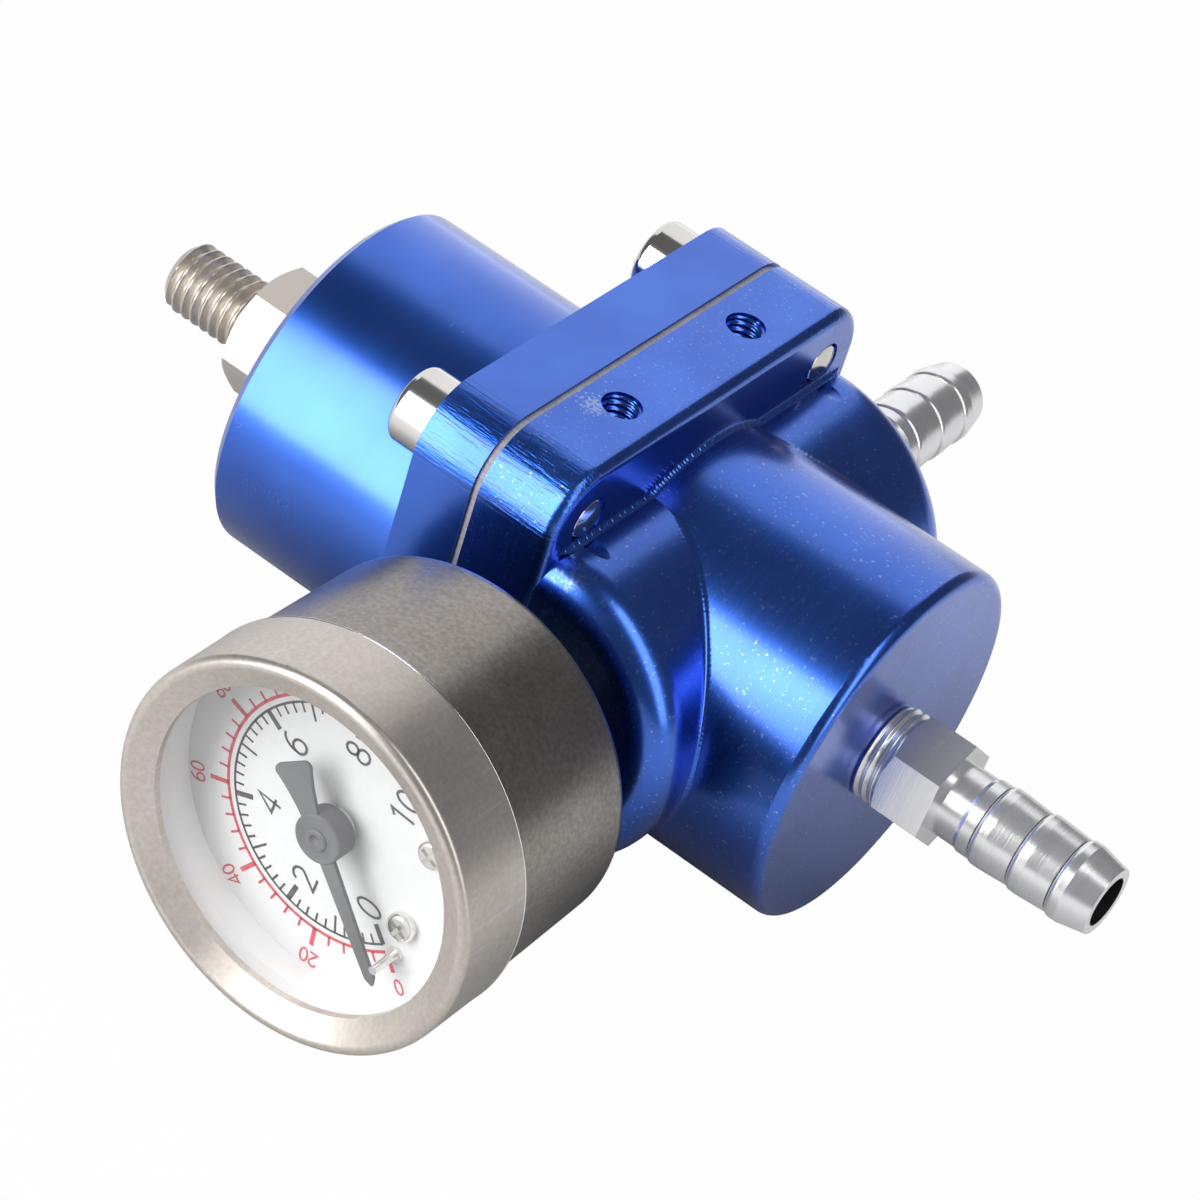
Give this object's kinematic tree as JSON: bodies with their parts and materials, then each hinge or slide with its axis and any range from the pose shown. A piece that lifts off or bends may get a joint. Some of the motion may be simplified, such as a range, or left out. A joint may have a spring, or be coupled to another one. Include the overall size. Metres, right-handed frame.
{
  "type": "fuel pressure regulator",
  "caption": "Adjustable fuel pressure regulator with square flanged body, round spring housing, adjusting screw with lock nut, hose barbs and a round dial pressure gauge.",
  "frame": {"origin": "midway between the mouths of the two tapped bracket holes, on the flange's top face", "axes": "+X along the main axis towards the return barb, -Y the way the dial faces, +Z out of the face with the bracket holes"},
  "size_m": [0.1192, 0.1157, 0.053],
  "materials": {
    "blue_anodised": "satin anodised",
    "bright_aluminium": "bright turned",
    "nickel_steel": "nickel plated",
    "satin_steel": "satin brushed",
    "plain_steel": "zinc plated",
    "brass": "machined",
    "clear_glass": "clear",
    "dial_white": "matte printed",
    "pointer_grey": "matte",
    "white_ring": "moulded",
    "black_rubber": "matte",
    "diaphragm_sheet": "cloth reinforced sheet"
  },
  "bodies": {
    "root": {"spring_housing": "blue_anodised", "lower_body": "blue_anodised", "diaphragm": "diaphragm_sheet", "cap_screws": "nickel_steel", "return_barb": "bright_aluminium", "inlet_barb": "bright_aluminium", "main_spring": "plain_steel", "valve_seat": "brass", "gauge_socket": "brass", "gauge_case": "satin_steel", "gauge_bezel": "satin_steel", "gauge_lens": "clear_glass", "lens_gasket": "white_ring", "gauge_dial": "dial_white", "dial_screws": "nickel_steel", "stop_pin": "nickel_steel", "hairspring": "brass", "movement_front_plate": "brass", "movement_back_plate": "brass", "movement_pillars": "brass", "bourdon_tube": "brass"},
    "spring_cap": {"spring_cap": "plain_steel"},
    "adjusting_screw": {"adjusting_screw": "nickel_steel"},
    "lock_nut": {"lock_nut": "nickel_steel"},
    "valve": {"diaphragm_cup": "plain_steel", "valve_holder": "bright_aluminium", "stem_nut": "plain_steel", "valve_pad": "black_rubber"},
    "pointer": {"pointer": "pointer_grey", "pointer_arbor": "plain_steel"},
    "sector": {"sector_gear": "brass"},
    "tube_tip": {"tube_tip": "brass", "tip_link": "brass"}
  },
  "joints": [
    {"name": "adjust_travel", "type": "slide", "parent": "root", "child": "spring_cap", "axis": [1, 0, 0], "range_m": [-0.003, 0.004], "deforming": ["main_spring"]},
    {"name": "adjust_turn", "type": "hinge", "parent": "spring_cap", "child": "adjusting_screw", "pos_m": [-0.05, 0, -0.0265], "axis": [1, 0, 0], "range_deg": [-865, 1153]},
    {"name": "lock_nut_turn", "type": "hinge", "parent": "root", "child": "lock_nut", "pos_m": [-0.0445, 0, -0.0265], "axis": [1, 0, 0], "range_deg": [-720, 0]},
    {"name": "valve_lift", "type": "slide", "parent": "root", "child": "valve", "axis": [1, 0, 0], "range_m": [-0.0012, 0], "stiffness_N_per_m": 2000, "springref_m": 0.003, "deforming": ["diaphragm", "main_spring"]},
    {"name": "pointer_turn", "type": "hinge", "parent": "root", "child": "pointer", "pos_m": [0.0057, -0.05, -0.0265], "axis": [0, 1, 0], "range_deg": [-0.1, 270.1], "deforming": ["hairspring"]},
    {"name": "sector_turn", "type": "hinge", "parent": "root", "child": "sector", "pos_m": [0.01442, -0.0475, -0.02726], "axis": [0, 1, 0], "range_deg": [-45.1, 0.1]},
    {"name": "tube_tip_travel", "type": "slide", "parent": "root", "child": "tube_tip", "axis": [0.0872, 0, 0.9962], "range_m": [0, 0.00306], "stiffness_N_per_m": 200, "deforming": ["bourdon_tube"]}
  ],
  "couplings": [
    {"joint": "adjust_turn", "follows": "adjust_travel", "rad_per_m": 5026.5},
    {"joint": "pointer_turn", "follows": "tube_tip_travel", "rad_per_m": 1539.3},
    {"joint": "sector_turn", "follows": "tube_tip_travel", "rad_per_m": -256.54}
  ]
}
